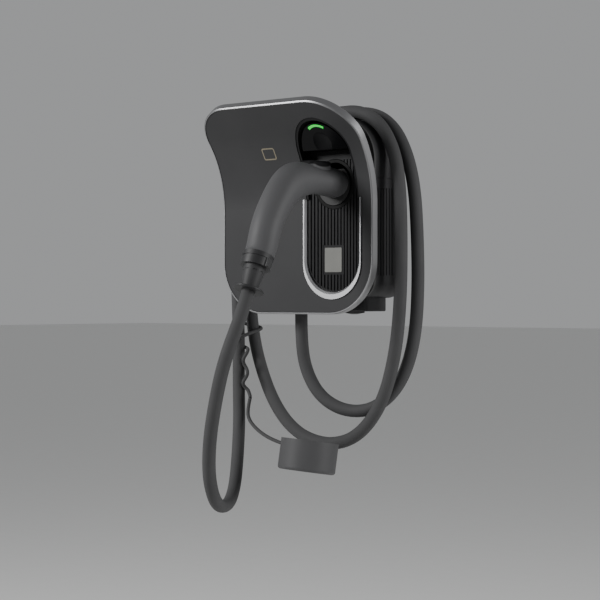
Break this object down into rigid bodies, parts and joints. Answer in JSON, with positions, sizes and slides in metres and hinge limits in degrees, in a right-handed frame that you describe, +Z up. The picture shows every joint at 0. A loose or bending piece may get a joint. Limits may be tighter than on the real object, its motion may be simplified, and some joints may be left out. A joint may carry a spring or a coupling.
{
  "type": "ev wallbox",
  "caption": "Wall-mounted electric car charger with a forward-swept front panel, an arched plug recess with a light bar, and its charging cable looped over the housing",
  "frame": {"origin": "on the wall plane, at the centre of the four wall bolts", "axes": "+Z up, -Y towards the viewer, +Y into the wall, +X to the viewer's right"},
  "size_m": [0.3233, 0.2889, 0.5511],
  "materials": {
    "galvanised_sheet": "satin",
    "screw_steel": "satin",
    "housing_black": "fine matte grain",
    "seal_rubber": "matte",
    "cover_black": "matte",
    "frame_metal": "dark satin anodised",
    "face_grey": "soft matte",
    "mark_bronze": "satin",
    "trim_metal": "satin",
    "insert_black": "semi-matte",
    "label_pale": "matte paper",
    "hood_black": "gloss",
    "light_green": "frosted, lit",
    "board_green": "solder mask",
    "cup_black": "semi-matte",
    "gland_black": "semi-matte",
    "standoff_brass": "satin",
    "module_grey": "matte",
    "terminal_grey": "matte",
    "sensor_black": "matte",
    "coil_copper": "lacquered wire",
    "nose_black": "semi-matte",
    "contact_silver": "silver plated",
    "grip_grey": "fine matte grain",
    "collar_black": "matte",
    "boot_black": "matte",
    "cable_black": "semi-matte sheath",
    "tether_black": "matte",
    "cap_grey": "matte"
  },
  "bodies": {
    "root": {"wall_plate": "galvanised_sheet", "hanging_screws": "screw_steel", "rear_housing": "housing_black", "cover_gasket": "seal_rubber", "inner_cover": "cover_black", "cover_screws": "screw_steel", "edge_frame": "frame_metal", "front_panel": "face_grey", "reader_mark": "mark_bronze", "recess_rim": "trim_metal", "ribbed_insert": "insert_black", "label_plate": "label_pale", "light_hood": "hood_black", "light_bar": "light_green", "light_board": "board_green", "holster_cup": "cup_black", "supply_box": "housing_black", "supply_grommet": "seal_rubber", "cable_gland": "gland_black", "gland_nut": "gland_black", "main_board": "board_green", "board_standoffs": "standoff_brass", "contactor": "module_grey", "terminal_block": "terminal_grey", "current_sensor": "sensor_black", "power_supply": "module_grey", "reader_coil": "coil_copper", "plug_nose": "nose_black", "contact_carrier": "nose_black", "contact_sleeves": "contact_silver", "plug_handle": "grip_grey", "plug_collar": "collar_black", "cable_boot": "boot_black", "boot_disc": "collar_black", "charging_cable": "cable_black", "tether_wrap": "tether_black", "tether": "tether_black", "protective_cap": "cap_grey"}
  },
  "joints": []
}
